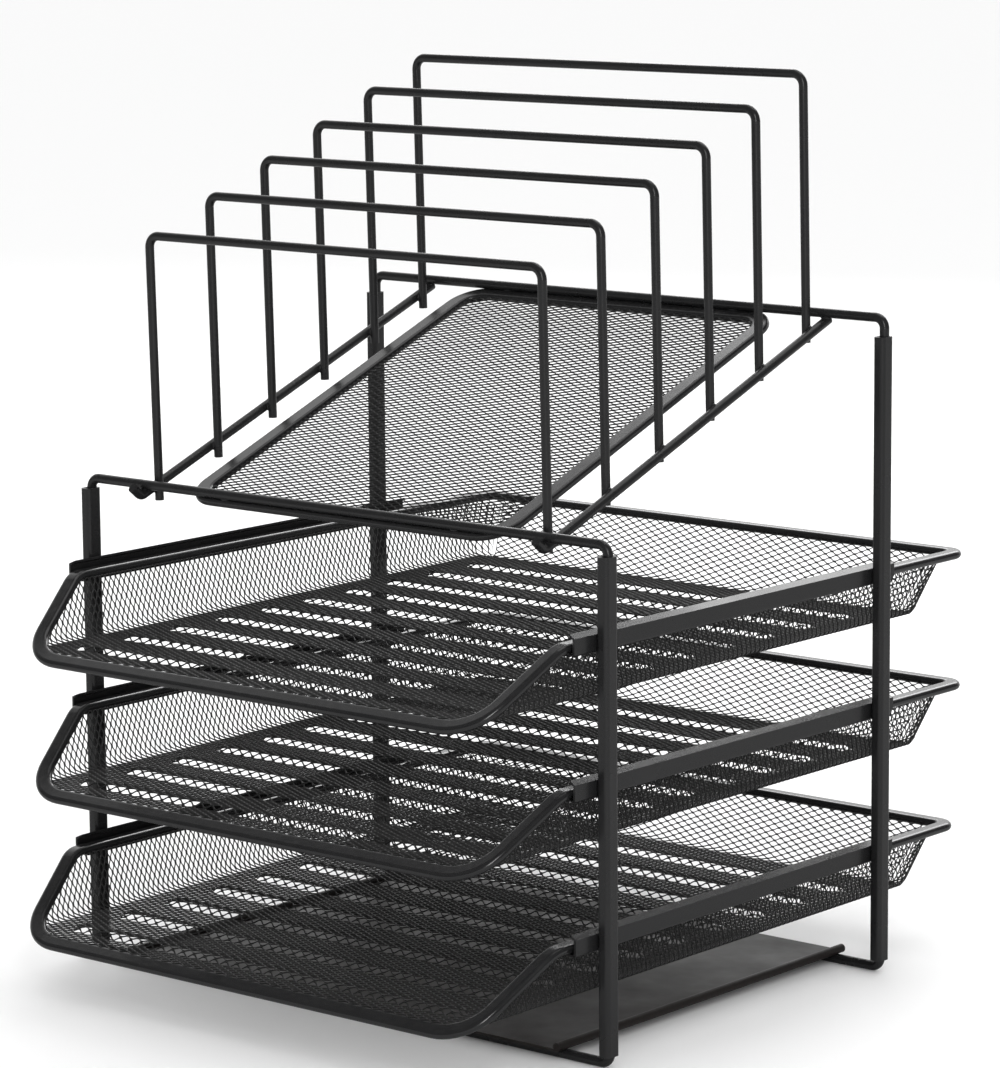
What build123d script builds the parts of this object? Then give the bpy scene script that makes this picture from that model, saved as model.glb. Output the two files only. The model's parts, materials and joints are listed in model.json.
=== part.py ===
from build123d import *
import math
import os

os.makedirs("parts", exist_ok=True)

# Desktop file sorter: three wire-mesh letter trays that slide in a steel frame, with a row of
# wire dividers over a sloping mesh floor on top. Millimetres. +X is to the right, -Y is the
# front, +Z is up. The origin is on the desk, under the middle of the four posts.

# ---------------------------------------------------------------- driving dimensions

# Four upright tubes, flattened so that a round wire end grips in them
post_spacing_x = 279.0
post_spacing_y = 182.0
post_width = 5.5
post_depth = 7.6
post_corner = 1.9
post_wall = 0.8
post_foot_z = 5.3
front_post_top = 202.5
rear_post_top = 269.0

# The four cross wires that plug into the posts; the lower two are the feet
frame_wire = 4.0
wire_leg = 26.0
wire_set_back = 0.8
top_bend = 4.4
foot_bend = 4.0
front_wire_z = front_post_top + 4.2
rear_wire_z = rear_post_top + 7.6

# The rails, folded from strip, and the height of each one's upper edge
rail_tops = {"upper": 172.5, "middle": 115.5, "lower": 54.5}
rail_sheet = 1.0
rail_bend = 1.2
rail_web = 7.2
rail_shelf = 6.4
rail_lip_run = 3.0
rail_lip_rise = 1.5
rail_front_y = -107.5
rail_rear_y = 104.0
rail_rear_corner = 4.0
rail_front_corner = 1.5

# The trays: a rolled rim round a pressed mesh pan, all three alike
tray_pulls = {"upper": 0.0, "middle": 0.0, "lower": 5.4}
rim_width = 7.0
rim_thick = 3.6
rim_side_x = 131.0
rim_rear_y = 160.0
rim_drop = 4.1
rim_rear_bend = 6.0
slope_top_y = -109.5
slope_bend = 12.0
front_bar_x = 119.5
front_bar_y = -147.8
front_bar_drop = 31.4
front_bend = 20.0
pan_sheet = 0.9
pan_drop = 28.6
pan_top_x = 128.2
pan_floor_x = 123.0
pan_rear_top_y = 157.1
pan_rear_floor_y = 141.6
pan_front_y = -147.0
pan_top_corner = 8.0
pan_floor_corner = 11.0
pan_floor_bend = 5.0
rib_count = 10
rib_pitch = 27.5
first_rib_y = -133.0
rib_length = 212.0
rib_width = 9.0
rib_rise = 2.0
rib_draft = 42.0

# The sorter on top: six wire loops on two sloping side wires
divider_wire = 3.7
divider_ys = (-84.5, -48.5, -14.5, 19.0, 52.0, 84.5)
divider_half_span = 105.2
divider_height = 113.0
divider_foot = 5.0
divider_lean = 1.5
divider_bend = 5.0
weld_bite = 0.12
hook_bend = 3.0
hook_past = 1.6
hook_reach = 4.8
hook_rise = 4.0
rear_end_past = 3.0

# The sloping mesh floor under the dividers
floor_half_width = 86.5
floor_rim_width = 7.5
floor_rim_thick = 3.2
floor_mesh_thick = 1.0
floor_front_past = 1.2
floor_rear_past = 2.4
floor_corner = 16.0

# The plate across the base wires
plate_half_width = 117.0
plate_sheet = 1.0
plate_reach = 2.6
plate_roll = 3.6

# ---------------------------------------------------------------- derived dimensions

post_x = post_spacing_x / 2
post_y = post_spacing_y / 2
rail_face_x = post_x - post_width / 2
front_wire_y = -post_y + wire_set_back
rear_wire_y = post_y + wire_set_back
slope = (rear_wire_z - front_wire_z) / post_spacing_y
slope_angle = math.degrees(math.atan(slope))
side_wire_x = divider_half_span + (divider_wire + frame_wire) / 2 - weld_bite


def under_wires(thickness, y):
    """Height of the middle of a sheet or wire of this thickness that slopes under the top wires."""
    gap = (frame_wire / 2 + thickness / 2) / math.cos(math.radians(slope_angle)) - weld_bite
    return front_wire_z - gap + slope * (y - front_wire_y)


# ---------------------------------------------------------------- posts

for side, x in (("left", -post_x), ("right", post_x)):
    for end, y, top in (("front", -post_y, front_post_top), ("rear", post_y, rear_post_top)):
        with BuildPart() as post:
            with BuildSketch(Plane((x, y, post_foot_z))):
                RectangleRounded(post_width, post_depth, post_corner)
                RectangleRounded(
                    post_width - 2 * post_wall,
                    post_depth - 2 * post_wall,
                    post_corner - post_wall + 0.2,
                    mode=Mode.SUBTRACT,
                )
            extrude(amount=top - post_foot_z)
        post.part.label = f"{end}_{side}_post"
        export_step(post.part, f"parts/{post.part.label}.step")

# ---------------------------------------------------------------- cross wires

foot_wire_z = frame_wire / 2
cross_wires = {
    "front_top_wire": (front_wire_y, front_wire_z, -wire_leg, top_bend),
    "rear_top_wire": (rear_wire_y, rear_wire_z, -wire_leg, top_bend),
    "front_base_wire": (front_wire_y, foot_wire_z, wire_leg, foot_bend),
    "rear_base_wire": (rear_wire_y, foot_wire_z, wire_leg, foot_bend),
}
for name, (wire_y, z, leg, bend) in cross_wires.items():
    with BuildPart() as cross_wire:
        with BuildLine():
            wire_path = FilletPolyline(
                (-post_x, wire_y, z + leg),
                (-post_x, wire_y, z),
                (post_x, wire_y, z),
                (post_x, wire_y, z + leg),
                radius=bend,
            )
        with BuildSketch(Plane(wire_path @ 0, z_dir=wire_path % 0)):
            Circle(frame_wire / 2)
        sweep()
    cross_wire.part.label = name
    export_step(cross_wire.part, f"parts/{name}.step")

# ---------------------------------------------------------------- rails

for level, rail_top in rail_tops.items():
    for side, sign in (("left", -1), ("right", 1)):
        web_out = sign * rail_face_x
        web_in = sign * (rail_face_x - rail_sheet)
        shelf_tip = sign * (rail_face_x - rail_shelf)
        lip_tip = sign * (rail_face_x - rail_lip_run)
        rail_bottom = rail_top - rail_web
        with BuildPart() as rail:
            with BuildSketch(Plane.XZ.offset(-rail_rear_y)):
                with BuildLine():
                    Polyline(
                        (web_out, rail_top),
                        (web_out, rail_bottom),
                        (shelf_tip, rail_bottom),
                        (shelf_tip, rail_bottom + rail_sheet),
                        (web_in, rail_bottom + rail_sheet),
                        (web_in, rail_top - rail_sheet / 2),
                        (lip_tip, rail_top + rail_lip_rise - rail_sheet),
                        (lip_tip, rail_top + rail_lip_rise),
                        close=True,
                    )
                make_face()
            extrude(amount=rail_rear_y - rail_front_y)
            outer_bend = rail.edges().filter_by(Axis.Y).filter_by(
                lambda edge: (edge.center() - Vector(web_out, edge.center().Y, rail_bottom)).length < 0.01
            )
            fillet(outer_bend, radius=rail_bend)
            with BuildSketch(Plane.YZ.offset(web_in - sign * rail_shelf)):
                with BuildLine():
                    FilletPolyline(
                        (rail_front_y, rail_bottom),
                        (rail_rear_y, rail_bottom),
                        (rail_rear_y, rail_top + rail_lip_rise),
                        (rail_front_y, rail_top + rail_lip_rise),
                        radius=(rail_front_corner, rail_rear_corner, rail_front_corner, rail_front_corner),
                        close=True,
                    )
                make_face()
            extrude(amount=sign * 2 * rail_shelf, mode=Mode.INTERSECT)
        rail.part.label = f"{level}_{side}_rail"
        export_step(rail.part, f"parts/{rail.part.label}.step")

# ---------------------------------------------------------------- trays

def pan_block(pull, top_z, bottom_z, inset):
    """The solid shape of a tray pan, set in from its outer faces by inset."""
    front = pan_front_y - pull + inset
    floor_back = pan_rear_floor_y - pull - inset
    top_back = pan_rear_top_y - pull - inset
    with BuildPart() as block:
        with BuildSketch(Plane((0, (front + floor_back) / 2, bottom_z))):
            RectangleRounded(2 * (pan_floor_x - inset), floor_back - front, pan_floor_corner - inset)
        with BuildSketch(Plane((0, (front + top_back) / 2, top_z))):
            RectangleRounded(2 * (pan_top_x - inset), top_back - front, pan_top_corner - inset)
        loft()
        fillet(block.faces().sort_by(Axis.Z)[0].edges(), radius=pan_floor_bend - inset)
    return block.part


for level, rail_top in rail_tops.items():
    pull = tray_pulls[level]
    rim_z = rail_top - rim_drop
    bar_z = rail_top - front_bar_drop
    floor_z = rail_top - pan_drop
    rear_y = rim_rear_y - pull
    bar_y = front_bar_y - pull
    slope_y = slope_top_y - pull

    # The rim runs flat round the back and sides, slopes down and crosses the front as a low bar
    with BuildPart() as tray_rim:
        with BuildLine():
            rim_path = FilletPolyline(
                (0, rear_y, rim_z),
                (rim_side_x, rear_y, rim_z),
                (rim_side_x, slope_y, rim_z),
                (front_bar_x, bar_y, bar_z),
                (0, bar_y, bar_z),
                radius=(rim_rear_bend, slope_bend, front_bend),
            )
        with BuildSketch(Plane(rim_path @ 0, x_dir=(0, 1, 0), z_dir=(1, 0, 0))):
            SlotOverall(rim_width, rim_thick)
        sweep()
        mirror(about=Plane.YZ)
    tray_rim.part.label = f"{level}_tray_rim"
    export_step(tray_rim.part, f"parts/{tray_rim.part.label}.step")

    # The pan has drafted sides and a raked back, its sides follow the rim's slope, and pressed
    # ribs stiffen its floor
    outside = pan_block(pull, rim_z, floor_z - pan_sheet / 2, 0)
    hollow = pan_block(pull, rim_z, floor_z + pan_sheet / 2, pan_sheet)
    with BuildPart() as tray_pan:
        add(outside)
        add(hollow, mode=Mode.SUBTRACT)
        with BuildSketch(Plane.YZ.offset(-rim_side_x)):
            with BuildLine():
                Polyline(
                    (slope_y, rim_z),
                    (bar_y, bar_z + 1.5),
                    (bar_y - rim_width, bar_z + 1.5),
                    (bar_y - rim_width, rim_z + rim_thick),
                    (slope_y, rim_z + rim_thick),
                    close=True,
                )
            make_face()
        extrude(amount=2 * rim_side_x, mode=Mode.SUBTRACT)
        ribs_y = first_rib_y - pull + (rib_count - 1) * rib_pitch / 2
        for z, grow, mode in ((pan_sheet / 2, 0, Mode.ADD), (-pan_sheet / 2, -pan_sheet, Mode.SUBTRACT)):
            with BuildSketch(Plane((0, ribs_y, floor_z + z))):
                with GridLocations(0, rib_pitch, 1, rib_count):
                    SlotOverall(rib_length + grow, rib_width + grow)
            extrude(amount=rib_rise, taper=rib_draft, mode=mode)
    tray_pan.part.label = f"{level}_tray_pan"
    export_step(tray_pan.part, f"parts/{tray_pan.part.label}.step")

# ---------------------------------------------------------------- sorter side wires

hook_y = front_wire_y - hook_past
hook_z = under_wires(frame_wire, hook_y)
rear_end_y = rear_wire_y + rear_end_past
for side, x in (("left", -side_wire_x), ("right", side_wire_x)):
    with BuildPart() as side_wire:
        with BuildLine():
            side_path = FilletPolyline(
                (x, hook_y - hook_reach, hook_z + hook_rise),
                (x, hook_y, hook_z),
                (x, rear_end_y, under_wires(frame_wire, rear_end_y)),
                radius=hook_bend,
            )
        with BuildSketch(Plane(side_path @ 0, z_dir=side_path % 0)):
            Circle(frame_wire / 2)
        sweep()
    side_wire.part.label = f"{side}_sorter_wire"
    export_step(side_wire.part, f"parts/{side_wire.part.label}.step")

# ---------------------------------------------------------------- dividers

lean = math.radians(divider_lean)
loop_rise = divider_height - divider_wire / 2
for number, y in enumerate(divider_ys):
    foot_z = under_wires(frame_wire, y) - divider_foot
    loop_plane = Plane(
        (0, y, foot_z), x_dir=(1, 0, 0), z_dir=(0, -math.cos(lean), -math.sin(lean))
    )
    with BuildPart() as divider:
        with BuildLine(loop_plane):
            loop_path = FilletPolyline(
                (-divider_half_span, 0),
                (-divider_half_span, loop_rise),
                (divider_half_span, loop_rise),
                (divider_half_span, 0),
                radius=divider_bend,
            )
        with BuildSketch(Plane(loop_path @ 0, z_dir=loop_path % 0)):
            Circle(divider_wire / 2)
        sweep()
    divider.part.label = f"divider_{number + 1}"
    export_step(divider.part, f"parts/{divider.part.label}.step")

# ---------------------------------------------------------------- sorter floor

floor_front_y = front_wire_y - floor_front_past
floor_rear_y = rear_wire_y + floor_rear_past
floor_y = (floor_front_y + floor_rear_y) / 2
floor_length = (floor_rear_y - floor_front_y) / math.cos(math.radians(slope_angle))
floor_plane = Plane(
    (0, floor_y, under_wires(floor_rim_thick, floor_y)),
    x_dir=(1, 0, 0),
    z_dir=(0, -math.sin(math.radians(slope_angle)), math.cos(math.radians(slope_angle))),
)

with BuildPart() as floor_rim:
    with BuildSketch(floor_plane.offset(-floor_rim_thick / 2)):
        RectangleRounded(2 * floor_half_width, floor_length, floor_corner)
        RectangleRounded(
            2 * (floor_half_width - floor_rim_width),
            floor_length - 2 * floor_rim_width,
            floor_corner - floor_rim_width,
            mode=Mode.SUBTRACT,
        )
    extrude(amount=floor_rim_thick)
    fillet(floor_rim.edges().filter_by(lambda edge: abs(edge.tangent_at(0.5).Z) < 0.9), radius=1.2)
floor_rim.part.label = "sorter_floor_rim"
export_step(floor_rim.part, "parts/sorter_floor_rim.step")

mesh_inset = floor_rim_width - 2.5
with BuildPart() as floor_mesh:
    with BuildSketch(floor_plane.offset(-floor_mesh_thick / 2)):
        RectangleRounded(
            2 * (floor_half_width - mesh_inset),
            floor_length - 2 * mesh_inset,
            floor_corner - mesh_inset,
        )
    extrude(amount=floor_mesh_thick)
floor_mesh.part.label = "sorter_floor"
export_step(floor_mesh.part, "parts/sorter_floor.step")

# ---------------------------------------------------------------- base plate

plate_y = post_y + frame_wire / 2 + plate_reach
plate_z = frame_wire - weld_bite
with BuildPart() as base_plate:
    with BuildSketch(Plane.XZ.offset(-plate_y)):
        with Locations((0, plate_z + plate_sheet / 2)):
            Rectangle(2 * plate_half_width, plate_sheet)
        for hem_x in (-plate_half_width, plate_half_width):
            with Locations((hem_x, plate_z + plate_roll / 2)):
                Circle(plate_roll / 2)
    extrude(amount=2 * plate_y)
base_plate.part.label = "base_plate"
export_step(base_plate.part, "parts/base_plate.step")
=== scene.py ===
# %% [markdown]
# # A desktop file sorter
#
# Three mesh letter trays slide in a frame of black tube and wire, and six wire loops stand over a
# sloping mesh floor on top. The tubes, wires, rails and rims arrive finished from the CAD model.
# What is made here is everything that CAD leaves plain: the expanded steel mesh of the trays and
# of the sloping floor, the small welds, and the powder coat with its grain, rubbed edges and dust.
#
# Every length is in metres. +Z is up, -Y is the open front and +X is to the right.

import json
import math

import bpy
import numpy as np
from mathutils import Matrix, Vector


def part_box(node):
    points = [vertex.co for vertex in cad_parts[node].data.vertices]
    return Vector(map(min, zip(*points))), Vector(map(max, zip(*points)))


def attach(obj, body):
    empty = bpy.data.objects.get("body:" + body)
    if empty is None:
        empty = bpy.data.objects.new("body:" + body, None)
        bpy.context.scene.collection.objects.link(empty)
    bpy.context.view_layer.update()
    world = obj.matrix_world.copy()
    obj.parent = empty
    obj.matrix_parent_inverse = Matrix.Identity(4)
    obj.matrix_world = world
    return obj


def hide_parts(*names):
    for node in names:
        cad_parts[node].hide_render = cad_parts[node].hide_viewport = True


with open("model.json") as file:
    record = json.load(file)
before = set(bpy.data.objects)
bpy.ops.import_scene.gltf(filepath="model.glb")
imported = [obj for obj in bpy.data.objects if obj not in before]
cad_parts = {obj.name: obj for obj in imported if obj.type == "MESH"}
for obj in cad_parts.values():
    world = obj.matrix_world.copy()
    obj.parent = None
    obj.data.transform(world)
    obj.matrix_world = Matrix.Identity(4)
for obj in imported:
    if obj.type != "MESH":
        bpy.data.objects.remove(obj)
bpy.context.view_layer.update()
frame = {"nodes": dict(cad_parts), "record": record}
nodes = frame["nodes"]
levels = ("upper", "middle", "lower")
MM = 0.001

# %% [markdown]
# ## Where one tray's sheet lies
#
# A tray is pressed from one flat sheet of expanded steel, and its edge is rolled into a rim. The
# sheet could be drawn as a grid of vertices pushed about by hand, but a pressed sheet follows a
# few plain curves, so it is worked out as a surface of two parameters: `u` runs across the tray,
# up both side walls, and `v` runs from front to back and then up the rear wall. All the lengths
# come from the CAD boxes of the pan and the rim, so the mesh always fits the rim that grips it.

# %% The bent line from the tray's floor up a wall
floor_bend = 5.0 * MM      # radius of the bend between floor and walls
side_draft = 5.2 * MM      # how far a side wall leans out over its height
rear_draft = 15.5 * MM     # the same for the rear wall
sheet_half = 0.45 * MM     # the CAD pan's floor lies this far above its lowest point


def bent_wall(w, height, draft):
    """Floor, bend and wall as one line of length w, measured from where the bend starts.

    The bend is an arc of floor_bend that turns by the wall's angle, and the wall is its tangent.
    Returns how far the line has gone outwards and how far up."""
    turn = math.atan2(height, draft)
    angle = np.clip(w / floor_bend, 0, turn)
    straight = np.maximum(w - floor_bend * turn, 0)
    out = np.minimum(w, 0) + floor_bend * np.sin(angle) + straight * math.cos(turn)
    up = floor_bend * (1 - np.cos(angle)) + straight * math.sin(turn)
    return out, up


def bend_run(height, draft):
    """How far inside the sharp corner the bend starts: radius times the tangent of half the turn."""
    return floor_bend * math.tan(math.atan2(height, draft) / 2)


def bent_length(height, draft):
    """Length of bend and wall together, from the floor to the given height."""
    turn = math.atan2(height, draft)
    return floor_bend * turn + (height - floor_bend * (1 - math.cos(turn))) / math.sin(turn)


pan_low, pan_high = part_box("upper_tray_pan")
pan_height = pan_high.z - pan_low.z - sheet_half
print("a side wall is %.1f mm of bent sheet" % (bent_length(pan_height, side_draft) / MM))

# %% The rim's line, which trims the sheet
rim_half_width = 3.5 * MM
rim_half_thick = 1.8 * MM
slope_from_front = 41.56 * MM    # the slope's upper corner behind the rim's front
bar_from_front = 3.26 * MM       # the middle of the front bar behind the rim's front
bar_half_length = 119.5 * MM
bar_drop = 27.3 * MM
slope_radius = 12.0 * MM
front_radius = 20.0 * MM
side_shown = 150.0 * MM          # how much of the straight side the line takes in


def arc_corner(before, corner, after, radius, steps=8):
    """Points of the arc that rounds one corner of a line, from one tangent point to the other."""
    a = (before - corner) / np.linalg.norm(before - corner)
    b = (after - corner) / np.linalg.norm(after - corner)
    half = math.acos(np.clip(a @ b, -1, 1)) / 2
    bisector = (a + b) / np.linalg.norm(a + b)
    centre = corner + bisector * radius / math.sin(half)
    start = corner + a * radius / math.tan(half)
    first = (start - centre) / radius
    second = np.cross(np.cross(a, b), first)
    second = second / np.linalg.norm(second)
    if second @ a > 0:
        second = -second
    t = np.linspace(0, math.pi - 2 * half, steps)[:, None]
    return centre + radius * (np.cos(t) * first + np.sin(t) * second)


def rim_line(level):
    """The middle of the rim's right half, from the side wall down the slope to the front bar."""
    low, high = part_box(f"{level}_tray_rim")
    side_x = high.x - rim_half_width
    rim_z = high.z - rim_half_thick
    slope_y = low.y + slope_from_front
    bar = np.array([bar_half_length, low.y + bar_from_front, rim_z - bar_drop])
    top = np.array([side_x, slope_y, rim_z])
    side = np.array([side_x, slope_y + side_shown, rim_z])
    middle = np.array([0, bar[1], bar[2]])
    return np.vstack([
        side,
        arc_corner(side, top, bar, slope_radius),
        arc_corner(top, bar, middle, front_radius),
        middle,
    ])


for level in levels:
    line = rim_line(level)
    print(level, "front bar at y %.1f z %.1f mm" % (line[-1][1] / MM, line[-1][2] / MM))

# %% [markdown]
# ## Pressed ribs
#
# Ten shallow ribs run across each tray's floor and keep it stiff. A rib is a long slot shape, so
# its height depends on one thing: the distance from the line down the middle of the rib. Full
# height near that line, a straight draft down to the floor, and nothing further out.

# %% Height of the ribs
rib_count = 10
rib_pitch = 27.5 * MM
rib_half_width = 4.5 * MM
rib_half_length = 106.0 * MM
rib_rise = 2.0 * MM
rib_draft_run = 1.8 * MM
rib_inset = 13.5 * MM      # the first rib's middle behind the pan's front edge


def rib_height(x, y, first_y):
    """Rise of the floor at x, y: full height less what the draft takes off beyond the flat top."""
    number = np.clip(np.round((y - first_y) / rib_pitch), 0, rib_count - 1)
    along = np.maximum(np.abs(x) - (rib_half_length - rib_half_width), 0)
    away = np.hypot(along, y - (first_y + number * rib_pitch))
    return rib_rise * np.clip((rib_half_width - away) / rib_draft_run, 0, 1)


# %% [markdown]
# ## Expanded steel mesh
#
# Expanded mesh isn't woven. A sheet is slit in short staggered cuts and pulled, so it opens into
# diamonds, and every strand is twisted a little out of the sheet. An alpha texture would look
# flat near the camera and vanish at the edges, so the strands are real geometry.
#
# The sheet is a stack of zigzag strands. Neighbours are half a step out of phase, so they touch
# at the knots and part between them. A strand is a flat bar of four corners carried along that
# zigzag, tilted by the twist. All strands are computed at once as one array of
# rows x stations x corners, and a station past the sheet's edge is pulled back to the edge.

# %% Strand sizes and the sheet builder
long_way = 6.0 * MM        # a diamond's length
short_way = 3.0 * MM       # a diamond's width
strand_wide = 0.46 * MM
strand_thick = 0.4 * MM
strand_twist = math.radians(28)
knot_long = 1.2 * MM


def strand_rows(v_low, v_high):
    """The middle lines of the strands, two to each diamond, on one lattice for every piece."""
    pitch = short_way / 2
    return np.arange(math.ceil(v_low / pitch), math.floor(v_high / pitch) + 1)


def expanded_sheet(place, rows, u_reach, u_low, u_high):
    """Vertices and faces of the strands numbered rows, on the surface place(u, v).

    A strand's middle line is v = row * pitch + (-1)^row * swing * zigzag(u), and its four corners
    are a bar strand_wide by strand_thick turned by the twist. u_low and u_high give the sheet's
    edge for each v."""
    pitch = short_way / 2
    swing = (pitch - strand_wide) / 2
    half_count = math.ceil(u_reach / (long_way / 2)) + 1
    knot = np.arange(-half_count, half_count + 1)
    u = (knot[:, None] * long_way / 2 + np.array([-0.5, 0.5]) * knot_long).ravel()
    zigzag = np.repeat(np.where(knot % 2 == 0, 1.0, -1.0), 2)
    middle = rows[:, None] * pitch + np.where(rows % 2 == 0, 1, -1)[:, None] * swing * zigzag
    low, high = u_low(middle), u_high(middle)
    u = np.clip(u[None, :] + 0 * middle, low, high)

    corner_v = np.array([-0.5, 0.5, 0.5, -0.5]) * strand_wide
    corner_n = np.array([-0.5, -0.5, 0.5, 0.5]) * strand_thick
    shift_v = corner_v * math.cos(strand_twist) - corner_n * math.sin(strand_twist)
    shift_n = corner_v * math.sin(strand_twist) + corner_n * math.cos(strand_twist)
    uu = u[:, :, None] + 0 * shift_v
    vv = middle[:, :, None] + shift_v
    step = 0.02 * MM
    point = place(uu, vv)
    normal = np.cross(place(uu + step, vv) - point, place(uu, vv + step) - point)
    normal /= np.maximum(np.linalg.norm(normal, axis=-1, keepdims=True), 1e-12)
    point = point + normal * shift_n[:, None]

    kept = np.diff(u, axis=1) > 0.05 * MM
    count, stations = u.shape
    index = np.arange(count * stations * 4).reshape(count, stations, 4)
    turned = np.roll(index, -1, axis=2)
    sides = np.stack([index[:, :-1], turned[:, :-1], turned[:, 1:], index[:, 1:]], axis=-1)
    none = np.zeros((count, 1), bool)
    first = kept & ~np.hstack([none, kept[:, :-1]])
    last = kept & ~np.hstack([kept[:, 1:], none])
    faces = np.vstack([
        sides[kept].reshape(-1, 4),
        index[:, :-1][first][:, ::-1],
        index[:, 1:][last],
    ])
    used, faces = np.unique(faces, return_inverse=True)
    return point.reshape(-1, 3)[used], faces.reshape(-1, 4)


def join_arrays(parts):
    """Several (vertices, faces) pairs as one pair, with the faces counted on."""
    starts = np.cumsum([0] + [len(points) for points, _ in parts[:-1]])
    return np.vstack([p for p, _ in parts]), np.vstack([f + s for (_, f), s in zip(parts, starts)])


def signed_volume(mesh):
    """A third of the sum of area times normal times centre; above zero when the faces look out."""
    mesh.calc_loop_triangles()
    count = len(mesh.polygons)
    area, normal, centre = np.empty(count), np.empty(count * 3), np.empty(count * 3)
    mesh.polygons.foreach_get("area", area)
    mesh.polygons.foreach_get("normal", normal)
    mesh.polygons.foreach_get("center", centre)
    return float((area * (normal * centre).reshape(-1, 3).sum(axis=1)).sum() / 3)


def make_piece(name, points, faces, smooth=False):
    """One object at the origin, with its place in its vertices."""
    mesh = bpy.data.meshes.new(name)
    mesh.from_pydata(points, [], faces)
    mesh.update()
    if smooth:
        mesh.shade_smooth()
    piece = bpy.data.objects.new(name, mesh)
    bpy.context.scene.collection.objects.link(piece)
    print(name, len(faces), "faces, %.0f mm3" % (signed_volume(mesh) / MM**3))
    return piece


# %% [markdown]
# ## The trays' mesh
#
# One tray's mesh has three kinds of patch. The floor patch carries the strands right across and
# up both side walls. The rear patch is the last stretch of the floor, its bend and the rear wall.
# The two rear corners were drawn in by the press, so their strands run up, and each one starts
# where the corner has widened enough to hold it.

# %% Build the mesh of one tray
rear_round_floor = 11.0 * MM
rear_round_top = 8.0 * MM
rim_tuck = 0.6 * MM        # the strands end this far under the middle of the rim
front_gap = 1.6 * MM       # the first strand lies this far behind the middle of the front bar


def tray_mesh(level):
    """The three mesh pieces of one tray, as (name, vertices, faces)."""
    low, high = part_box(f"{level}_tray_pan")
    floor_z = low.z + sheet_half
    height = high.z - floor_z
    floor_x = high.x - side_draft
    rear_floor_y = high.y - rear_draft
    first_rib = low.y + rib_inset
    rim = rim_line(level)[::-1]
    side_start = floor_x - bend_run(height, side_draft)
    rear_start = rear_floor_y - bend_run(height, rear_draft)
    side_reach = side_start + bent_length(height - rim_tuck, side_draft)

    def place(u, v):
        """Across: floor, bend and side wall. Along: floor, bend and rear wall."""
        out, up = bent_wall(np.abs(u) - side_start, height, side_draft)
        back, rise = bent_wall(v - rear_start, height, rear_draft)
        x = np.sign(u) * (side_start + out)
        y = rear_start + back
        return np.stack([x, y, floor_z + up + rise + rib_height(x, y, first_rib)], axis=-1)

    fine_u = np.linspace(0, side_reach, 400)
    fine_out, fine_up = bent_wall(fine_u - side_start, height, side_draft)

    def side_limit(v):
        """The u at which the sheet reaches the rim's line, sideways or upwards."""
        rim_x = np.interp(v, rim[:, 1], rim[:, 0])
        rim_z = np.interp(v, rim[:, 1], rim[:, 2]) - rim_tuck - floor_z
        by_side = np.interp(rim_x - side_start, fine_out, fine_u)
        on_wall = fine_up > 0
        by_top = np.interp(rim_z, fine_up[on_wall], fine_u[on_wall])
        by_top = np.where(rim_z > 0, by_top, side_reach)
        return np.minimum(np.minimum(by_side, by_top), side_reach)

    def rear_limit(v):
        """On the rear wall the strands stop where the rounded corners begin."""
        share = np.clip((v - rear_start) / bent_length(height, rear_draft), 0, 1)
        round_here = rear_round_floor + share * (rear_round_top - rear_round_floor)
        return floor_x + share * side_draft - round_here

    front_row_y = rim[0][1] + front_gap
    split_y = (low.y + high.y) / 2
    rear_end = rear_start + bent_length(height - rim_tuck, rear_draft)
    pieces = []
    for name, start, end, limit in (
        ("front", front_row_y, split_y, side_limit),
        ("back", split_y, rear_start, side_limit),
        ("rear_wall", rear_start, rear_end, rear_limit),
    ):
        rows = strand_rows(start, end)
        rows = rows[(rows * short_way / 2 >= start) & (rows * short_way / 2 < end)]
        points, faces = expanded_sheet(place, rows, side_reach, lambda v: -limit(v), limit)
        pieces.append((f"{level}_tray_mesh_{name}", points, faces))

    wall = bent_length(height - rim_tuck, side_draft)

    def corner(sign):
        """Strands run up (u), and v goes back along the side wall and round the corner."""
        def place_corner(u, v):
            out, up = bent_wall(u, height, side_draft)
            back, rise = bent_wall(u, height, rear_draft)
            flat = back - rear_round_top
            angle = np.clip((v - flat) / rear_round_top, 0, math.pi / 2)
            x = side_start + out - rear_round_top * (1 - np.cos(angle))
            y = rear_start + np.minimum(v, flat) + rear_round_top * np.sin(angle)
            q = angle / (math.pi / 2)
            z = floor_z + (1 - q) * up + q * rise
            return np.stack([sign * x, y, z], axis=-1)
        return place_corner

    fine_wall = np.linspace(0, wall, 200)
    corner_ends = bent_wall(fine_wall, height, rear_draft)[0] + rear_round_top * (math.pi / 2 - 1)
    corner_rows = strand_rows(-1.0 * MM, corner_ends[-1])
    parts = []
    for sign in (-1, 1):
        parts.append(expanded_sheet(
            corner(sign), corner_rows, wall,
            lambda v: np.interp(v, corner_ends, fine_wall), lambda v: wall + 0 * v,
        ))
    pieces.append((f"{level}_tray_mesh_corners", *join_arrays(parts)))
    return pieces


mesh_pieces = []
for level in levels:
    for name, points, faces in tray_mesh(level):
        piece = make_piece(name, points, faces)
        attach(piece, f"{level}_tray")
        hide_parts(f"{level}_tray_pan")
        mesh_pieces.append(piece)

# %% [markdown]
# ## The sorter's mesh floor
#
# The sloping floor under the wire loops is the same expanded steel, held flat in its own rim. Its
# surface is just a tilted plane, which the CAD box gives: half its length lies along the slope
# from the low front edge to the high rear edge.

# %% Build the sloping floor
floor_low, floor_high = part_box("sorter_floor")
floor_middle = np.array((floor_low + floor_high) / 2)
slope_run = np.array([0, floor_high.y - floor_low.y, floor_high.z - floor_low.z])
floor_half_length = np.linalg.norm(slope_run) / 2
slope_run = slope_run / np.linalg.norm(slope_run)
floor_half_width = floor_high.x


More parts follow.
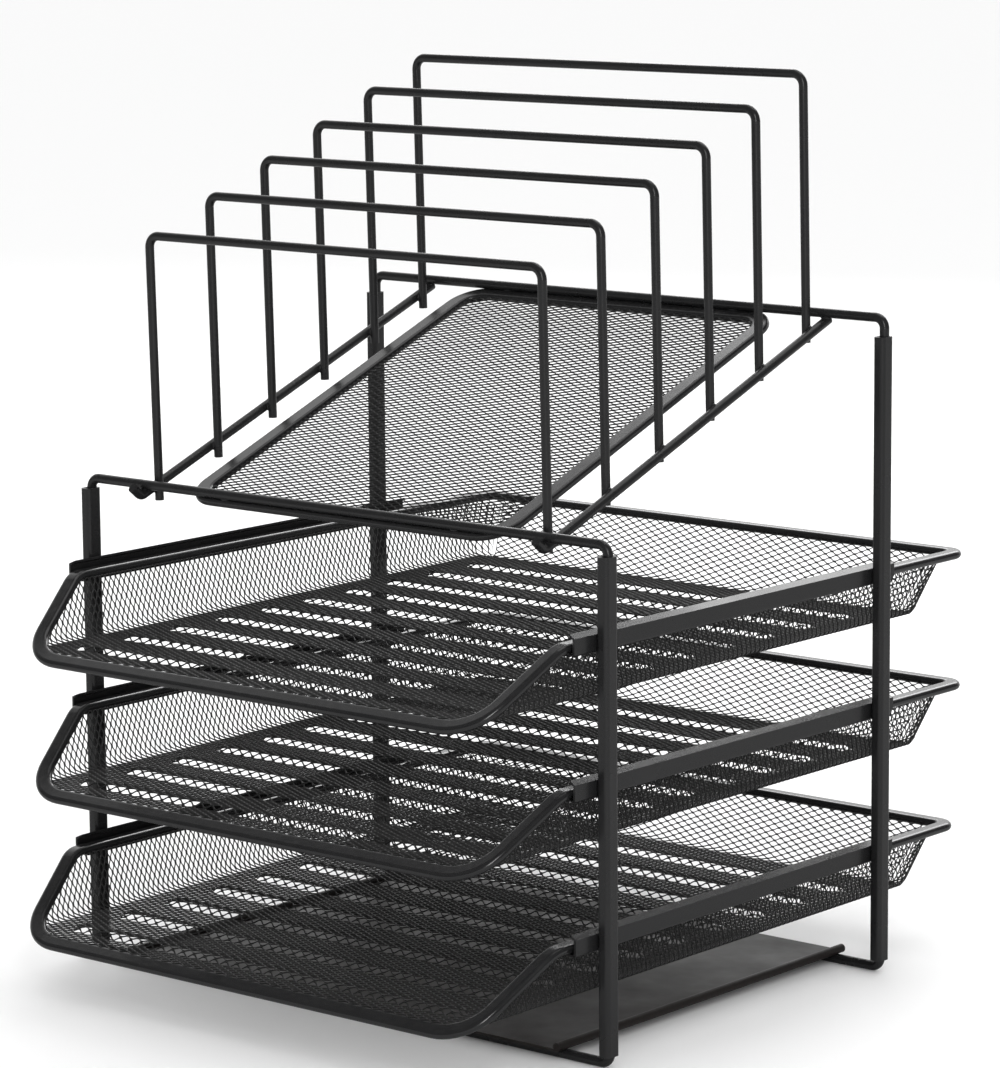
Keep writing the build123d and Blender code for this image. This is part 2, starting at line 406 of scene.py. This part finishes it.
def sloping_floor(u, v):
    """A plane: the middle, plus u across, plus v up the slope."""
    return floor_middle + u[..., None] * np.array([1, 0, 0]) + v[..., None] * slope_run


rows = strand_rows(-floor_half_length, floor_half_length)
points, faces = expanded_sheet(
    sloping_floor, rows, floor_half_width,
    lambda v: 0 * v - floor_half_width, lambda v: 0 * v + floor_half_width,
)
sorter_mesh = make_piece("sorter_mesh", points, faces)
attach(sorter_mesh, "frame")
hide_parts("sorter_floor")
mesh_pieces.append(sorter_mesh)

# %% [markdown]
# ## Welds
#
# The wires are resistance welded: where two of them are pressed together the steel swells into a
# small smooth bead, and the powder coat runs over it. A fillet between two wires is awkward to
# model exactly and is a millimetre across, so each weld is a small egg-shaped surface that
# bridges the two wires.

# %% Weld beads
def bead(centre, size, around=12, along=8):
    """A squashed ball: a grid of angles, times the three half sizes, with one point at each pole."""
    turn = np.linspace(0, 2 * math.pi, around, endpoint=False)
    tilt = np.linspace(0, math.pi, along + 1)[1:-1]
    ring = np.stack([
        np.sin(tilt)[:, None] * np.cos(turn),
        np.sin(tilt)[:, None] * np.sin(turn),
        np.cos(tilt)[:, None] + 0 * turn,
    ], axis=-1).reshape(-1, 3)
    ball = np.vstack([ring, [0, 0, 1], [0, 0, -1]])
    grid = np.arange(len(ring)).reshape(along - 1, around)
    after = np.roll(grid, -1, axis=1)
    quads = np.stack([grid[:-1], grid[1:], after[1:], after[:-1]], axis=-1).reshape(-1, 4)
    north, south = len(ring), len(ring) + 1
    caps = [[north, a, b] for a, b in zip(grid[0], after[0])]
    caps += [[south, b, a] for a, b in zip(grid[-1], after[-1])]
    return np.array(centre) + ball * size, quads, caps


def bead_group(name, places):
    """All the beads of one group as one mesh; the poles are closed with triangles."""
    points, faces, count = [], [], 0
    for centre, size in places:
        ball, quads, caps = bead(centre, size)
        points.append(ball)
        faces += (quads + count).tolist() + [[n + count for n in cap] for cap in caps]
        count += len(ball)
    return make_piece(name, np.vstack(points), faces, smooth=True)


loop_half = 1.85 * MM      # half the thickness of a divider's wire
wire_half = 2.0 * MM       # and of a cross wire
weld_bite = 0.12 * MM      # how far two welded wires sink into each other
foot_length = 5.0 * MM     # a divider's leg ends this far below the side wire
floor_weld_x = 62.0 * MM   # where the floor's rim is welded to the cross wires
leg_bead = np.array([1.2, 1.9, 2.3]) * MM
side_bead = np.array([1.9, 1.8, 1.2]) * MM
floor_bead = np.array([2.6, 1.9, 1.1]) * MM

wire_low, wire_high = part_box("right_sorter_wire")
side_wire_x = (wire_low.x + wire_high.x) / 2
leg_beads, top_beads = [], []
for number in range(1, 7):
    low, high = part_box(f"divider_{number}")
    leg_y, leg_z = high.y - loop_half - weld_bite, low.z + foot_length
    for sign in (-1, 1):
        leg_beads.append(((sign * (side_wire_x - wire_half + 0.05 * MM), leg_y, leg_z), leg_bead))
for wire in ("front_top_wire", "rear_top_wire"):
    low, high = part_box(wire)
    under = ((low.y + high.y) / 2 + 0.7 * MM, high.z - wire_half - 1.9 * MM)
    for sign in (-1, 1):
        top_beads.append(((sign * side_wire_x, *under), side_bead))
        top_beads.append(((sign * floor_weld_x, *under), floor_bead))
divider_welds = bead_group("divider_welds", leg_beads)
top_welds = bead_group("top_wire_welds", top_beads)
for piece in (divider_welds, top_welds):
    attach(piece, "frame")

# %% [markdown]
# ## Powder coat
#
# Everything is steel under one black powder coat. Powder melts into a skin with a faint orange
# peel, slightly uneven in gloss, and it wears where hands and paper rub: on sharp edges it
# thins and polishes. Dust settles on what faces up. Three effects, so each is a node group that is
# built once. Peel and dust go into every finish, and rubbing only into those that wear, each with its
# own numbers in each material.

# %% Helpers for shader nodes
def new_group(name, inputs, outputs):
    """An empty shader group with named sockets. Returns the tree and its input and output nodes."""
    tree = bpy.data.node_groups.new(name, "ShaderNodeTree")
    for label, kind, value in inputs:
        socket = tree.interface.new_socket(label, in_out="INPUT", socket_type=kind)
        if value is not None:
            socket.default_value = value
    for label, kind in outputs:
        tree.interface.new_socket(label, in_out="OUTPUT", socket_type=kind)
    return tree, tree.nodes.new("NodeGroupInput"), tree.nodes.new("NodeGroupOutput")


def node(tree, kind, inputs=(), **settings):
    """One node, with its settings and with values or links for its inputs by name or number."""
    made = tree.nodes.new(kind)
    for key, value in settings.items():
        setattr(made, key, value)
    for key, value in dict(inputs).items():
        if isinstance(value, bpy.types.NodeSocket):
            tree.links.new(value, made.inputs[key])
        else:
            made.inputs[key].default_value = value
    return made


def maths(tree, operation, a, b=0.0, clamp=False):
    """The result of one Math node."""
    return node(tree, "ShaderNodeMath", {0: a, 1: b}, operation=operation, use_clamp=clamp).outputs[0]


def mix_colour(tree, share, a, b):
    """Colour a, and share of the way from it to colour b."""
    return node(tree, "ShaderNodeMix", {0: share, 6: a, 7: b}, data_type="RGBA").outputs[2]


# %% Orange peel, rubbed edges and dust
def make_peel():
    """Orange peel: a fine noise for the bumps and a broad one for how unevenly the coat shines."""
    tree, given, out = new_group(
        "powder_peel",
        [("Vector", "NodeSocketVector", None), ("Pitch", "NodeSocketFloat", 900.0)],
        [("Height", "NodeSocketFloat"), ("Mottle", "NodeSocketFloat")],
    )
    fine = node(tree, "ShaderNodeTexNoise", {
        "Vector": given.outputs["Vector"], "Scale": given.outputs["Pitch"],
        "Detail": 2.0, "Roughness": 0.45,
    })
    broad = node(tree, "ShaderNodeTexNoise", {
        "Vector": given.outputs["Vector"], "Scale": 38.0, "Detail": 3.0, "Roughness": 0.6,
    })
    tree.links.new(fine.outputs[0], out.inputs["Height"])
    tree.links.new(broad.outputs[0], out.inputs["Mottle"])
    return tree


def make_rub():
    """Rubbed edges: where a rounded-off normal leaves the true one, broken up by a noise."""
    tree, given, out = new_group(
        "rubbed_edges",
        [("Vector", "NodeSocketVector", None), ("Reach", "NodeSocketFloat", 0.0007)],
        [("Mask", "NodeSocketFloat")],
    )
    rounded = node(tree, "ShaderNodeBevel", {"Radius": given.outputs["Reach"]}, samples=4)
    true = node(tree, "ShaderNodeNewGeometry")
    match = node(tree, "ShaderNodeVectorMath", {
        0: rounded.outputs[0], 1: true.outputs["Normal"],
    }, operation="DOT_PRODUCT")
    away = maths(tree, "SUBTRACT", 1.0, match.outputs["Value"])
    edge = maths(tree, "MULTIPLY", away, 5.0, clamp=True)
    patches = node(tree, "ShaderNodeTexNoise", {
        "Vector": given.outputs["Vector"], "Scale": 120.0, "Detail": 4.0, "Roughness": 0.65,
    })
    broken = node(tree, "ShaderNodeMapRange", {0: patches.outputs[0], 1: 0.42, 2: 0.66}, clamp=True)
    tree.links.new(maths(tree, "MULTIPLY", edge, broken.outputs[0]), out.inputs["Mask"])
    return tree


def make_dust():
    """Dust: how far the surface faces up, cubed, times a fine noise."""
    tree, given, out = new_group(
        "settled_dust", [("Vector", "NodeSocketVector", None)], [("Mask", "NodeSocketFloat")]
    )
    normal = node(tree, "ShaderNodeNewGeometry")
    parts = node(tree, "ShaderNodeSeparateXYZ", {0: normal.outputs["Normal"]})
    up = maths(tree, "POWER", maths(tree, "MAXIMUM", parts.outputs["Z"], 0.0), 3.0)
    specks = node(tree, "ShaderNodeTexNoise", {
        "Vector": given.outputs["Vector"], "Scale": 420.0, "Detail": 5.0, "Roughness": 0.7,
    })
    thin = node(tree, "ShaderNodeMapRange", {0: specks.outputs[0], 1: 0.45, 2: 0.8}, clamp=True)
    tree.links.new(maths(tree, "MULTIPLY", up, thin.outputs[0]), out.inputs["Mask"])
    return tree


peel_group, rub_group, dust_group = make_peel(), make_rub(), make_dust()
print("shader groups:", peel_group.name, rub_group.name, dust_group.name)

# %% [markdown]
# ## The finishes
#
# One function builds a powder coat from those groups: the coat's colour, a paler and smoother
# tone where it is rubbed, grey dust on top, gloss that varies with the mottle, and the orange
# peel as a very shallow bump. The rolled rims have the smoothest coat and shine most, then come
# the strip of the rails, the tubes and the wires. The mesh's thin strands take a dusty, drier
# coat, and the base plate is a warmer, duller black.

# %% Build the finishes
rubbed_tone = (0.075, 0.074, 0.072, 1)
dust_tone = (0.16, 0.155, 0.15, 1)


def powder_coat(name, colour, roughness, spread, peel_pitch, peel_depth, rub, dust, shine):
    """A black powder coat. spread is how far the mottle moves the roughness."""
    material = bpy.data.materials.new(name)
    material.use_nodes = True
    tree = material.node_tree
    tree.nodes.clear()
    coords = node(tree, "ShaderNodeTexCoord").outputs["Object"]
    peel = node(tree, "ShaderNodeGroup", node_tree=peel_group)
    tree.links.new(coords, peel.inputs["Vector"])
    peel.inputs["Pitch"].default_value = peel_pitch
    dusty = node(tree, "ShaderNodeGroup", node_tree=dust_group)
    tree.links.new(coords, dusty.inputs["Vector"])
    darker, paler = ((*(c * change for c in colour), 1) for change in (0.8, 1.2))
    tone = mix_colour(tree, peel.outputs["Mottle"], darker, paler)
    rough = node(tree, "ShaderNodeMapRange", {
        0: peel.outputs["Mottle"], 1: 0.3, 2: 0.7, 3: roughness - spread, 4: roughness + spread,
    }).outputs[0]
    if rub > 0:
        rubbed = node(tree, "ShaderNodeGroup", node_tree=rub_group)
        tree.links.new(coords, rubbed.inputs["Vector"])
        share = maths(tree, "MULTIPLY", rubbed.outputs["Mask"], rub)
        tone = mix_colour(tree, share, tone, rubbed_tone)
        rough = maths(tree, "SUBTRACT", rough, maths(tree, "MULTIPLY", share, 0.1))
    dust_share = maths(tree, "MULTIPLY", dusty.outputs["Mask"], dust)
    tone = mix_colour(tree, dust_share, tone, dust_tone)
    rough = maths(tree, "ADD", rough, maths(tree, "MULTIPLY", dust_share, 0.4), clamp=True)
    bump = node(tree, "ShaderNodeBump", {"Height": peel.outputs["Height"], "Distance": peel_depth})
    bump.inputs["Strength"].default_value = 1.0
    shader = node(tree, "ShaderNodeBsdfPrincipled", {
        "Base Color": tone, "Roughness": rough, "Normal": bump.outputs[0], "Specular IOR Level": shine,
    })
    out = node(tree, "ShaderNodeOutputMaterial")
    tree.links.new(shader.outputs[0], out.inputs[0])
    return material


black = (0.012, 0.012, 0.0125)
dry_black = (0.013, 0.013, 0.013)
brown_black = (0.014, 0.011, 0.010)
MICRON = 0.000001
finishes = {
    # colour, roughness, spread, peel pitch and depth, rub, dust, shine
    "wire": powder_coat("coat_on_wire", black, 0.27, 0.04, 900, 8 * MICRON, 0, 0.2, 0.6),
    "post": powder_coat("coat_on_tube", black, 0.27, 0.04, 900, 8 * MICRON, 0.5, 0.1, 0.6),
    "rail": powder_coat("coat_on_strip", black, 0.25, 0.04, 800, 2 * MICRON, 0.3, 0.1, 0.5),
    "rim": powder_coat("coat_on_rim", black, 0.20, 0.04, 700, 5 * MICRON, 0.4, 0.15, 0.7),
    "mesh": powder_coat("coat_on_mesh", dry_black, 0.38, 0.05, 1200, 10 * MICRON, 0, 0.25, 0.5),
    "plate": powder_coat("coat_on_plate", brown_black, 0.46, 0.08, 600, 20 * MICRON, 0.6, 0.2, 0.3),
}

# %% Put the finishes on
slots = {row["node"]: row["material_slot"] for row in frame["record"]["subparts"]}
for name, thing in nodes.items():
    thing.data.materials.clear()
    thing.data.materials.append(finishes[slots[name]])
for piece in mesh_pieces:
    piece.data.materials.append(finishes["mesh"])
for piece in (divider_welds, top_welds):
    piece.data.materials.append(finishes["wire"])
print("finishes:", sorted(finishes))

# %% [markdown]
# ## Stage, light and camera
#
# A black object is lit by what it reflects. The surround is white to look at and as light on the
# pale floor, but in reflections it is a dim room with one bright wall behind the object, and
# the floor is a middle grey. The wall and a soft light high behind give the rails and rims their
# pale lines, while faces that look towards the viewer stay black. A tall, weak light by the
# viewer draws a line down each tube.

# %% The pale floor
floor_size = 12.0
floor_points = np.array([[-1, -1, 0], [1, -1, 0], [1, 1, 0], [-1, 1, 0]]) * floor_size
floor = make_piece("stage_floor", floor_points, [[0, 1, 2, 3]])
floor_material = bpy.data.materials.new("pale_floor")
floor_material.use_nodes = True
tree = floor_material.node_tree
ray = node(tree, "ShaderNodeLightPath")
paper = mix_colour(tree, ray.outputs["Is Glossy Ray"], (0.9, 0.9, 0.9, 1), (0.3, 0.3, 0.3, 1))
floor_shader = tree.nodes["Principled BSDF"]
tree.links.new(paper, floor_shader.inputs["Base Color"])
floor_shader.inputs["Roughness"].default_value = 0.8
floor.data.materials.append(floor_material)

# %% The surround: white all round, but reflected as a dim room with one bright wall behind
world = bpy.data.worlds.new("studio")
bpy.context.scene.world = world
world.use_nodes = True
tree = world.node_tree
tree.nodes.clear()
direction = node(tree, "ShaderNodeTexCoord").outputs["Generated"]
behind = (-math.sin(math.radians(40)), math.cos(math.radians(40)), 0.12)
towards = node(tree, "ShaderNodeVectorMath", {0: direction, 1: behind}, operation="DOT_PRODUCT")
reflected = node(tree, "ShaderNodeMapRange", {
    0: towards.outputs["Value"], 1: 0.45, 2: 0.95, 3: 0.07, 4: 1.1,
}, interpolation_type="SMOOTHSTEP")
ray = node(tree, "ShaderNodeLightPath")
strength = node(tree, "ShaderNodeMix", {
    0: ray.outputs["Is Glossy Ray"], 2: 1.12, 3: reflected.outputs[0],
}, data_type="FLOAT").outputs[0]
background = node(tree, "ShaderNodeBackground", {"Color": (1, 1, 1, 1), "Strength": strength})
tree.links.new(background.outputs[0], node(tree, "ShaderNodeOutputWorld").inputs[0])


# %% Soft lights
def soft_light(name, place, aim, size, power):
    """A square or oblong soft light at place, facing aim."""
    data = bpy.data.lights.new(name, "AREA")
    data.shape = "RECTANGLE"
    data.size, data.size_y = size
    data.energy = power
    light = bpy.data.objects.new(name, data)
    bpy.context.scene.collection.objects.link(light)
    light.location = place
    light.rotation_euler = (Vector(aim) - Vector(place)).to_track_quat("-Z", "Y").to_euler()
    return light


middle = (0, 0, 0.18)
soft_light("top_light", (0.1, 0.5, 1.8), middle, (1.2, 1.2), 5)
soft_light("back_light", (-0.7, 1.8, 1.3), middle, (1.7, 0.8), 17)
soft_light("viewer_light", (1.35, -1.25, 0.85), middle, (0.25, 1.2), 7)

# %% The camera
view_turn = math.radians(40.097)
view_drop = math.radians(9.574)
view_roll = math.radians(-0.447)
forward = Vector((
    -math.sin(view_turn) * math.cos(view_drop),
    math.cos(view_turn) * math.cos(view_drop),
    -math.sin(view_drop),
))
level_right = Vector((math.cos(view_turn), math.sin(view_turn), 0))
level_up = level_right.cross(forward)
right = level_right * math.cos(view_roll) + level_up * math.sin(view_roll)
up = level_up * math.cos(view_roll) - level_right * math.sin(view_roll)
lens = bpy.data.cameras.new("camera")
lens.lens = 146.885
lens.sensor_width = 36
lens.clip_start = 0.1
lens.clip_end = 50
camera = bpy.data.objects.new("camera", lens)
bpy.context.scene.collection.objects.link(camera)
camera.matrix_world = Matrix.Translation((1.16317, -1.37003, 0.48777)) @ Matrix((
    (right.x, up.x, -forward.x, 0),
    (right.y, up.y, -forward.y, 0),
    (right.z, up.z, -forward.z, 0),
    (0, 0, 0, 1),
))
bpy.context.scene.camera = camera
bpy.context.scene.view_settings.view_transform = "Standard"
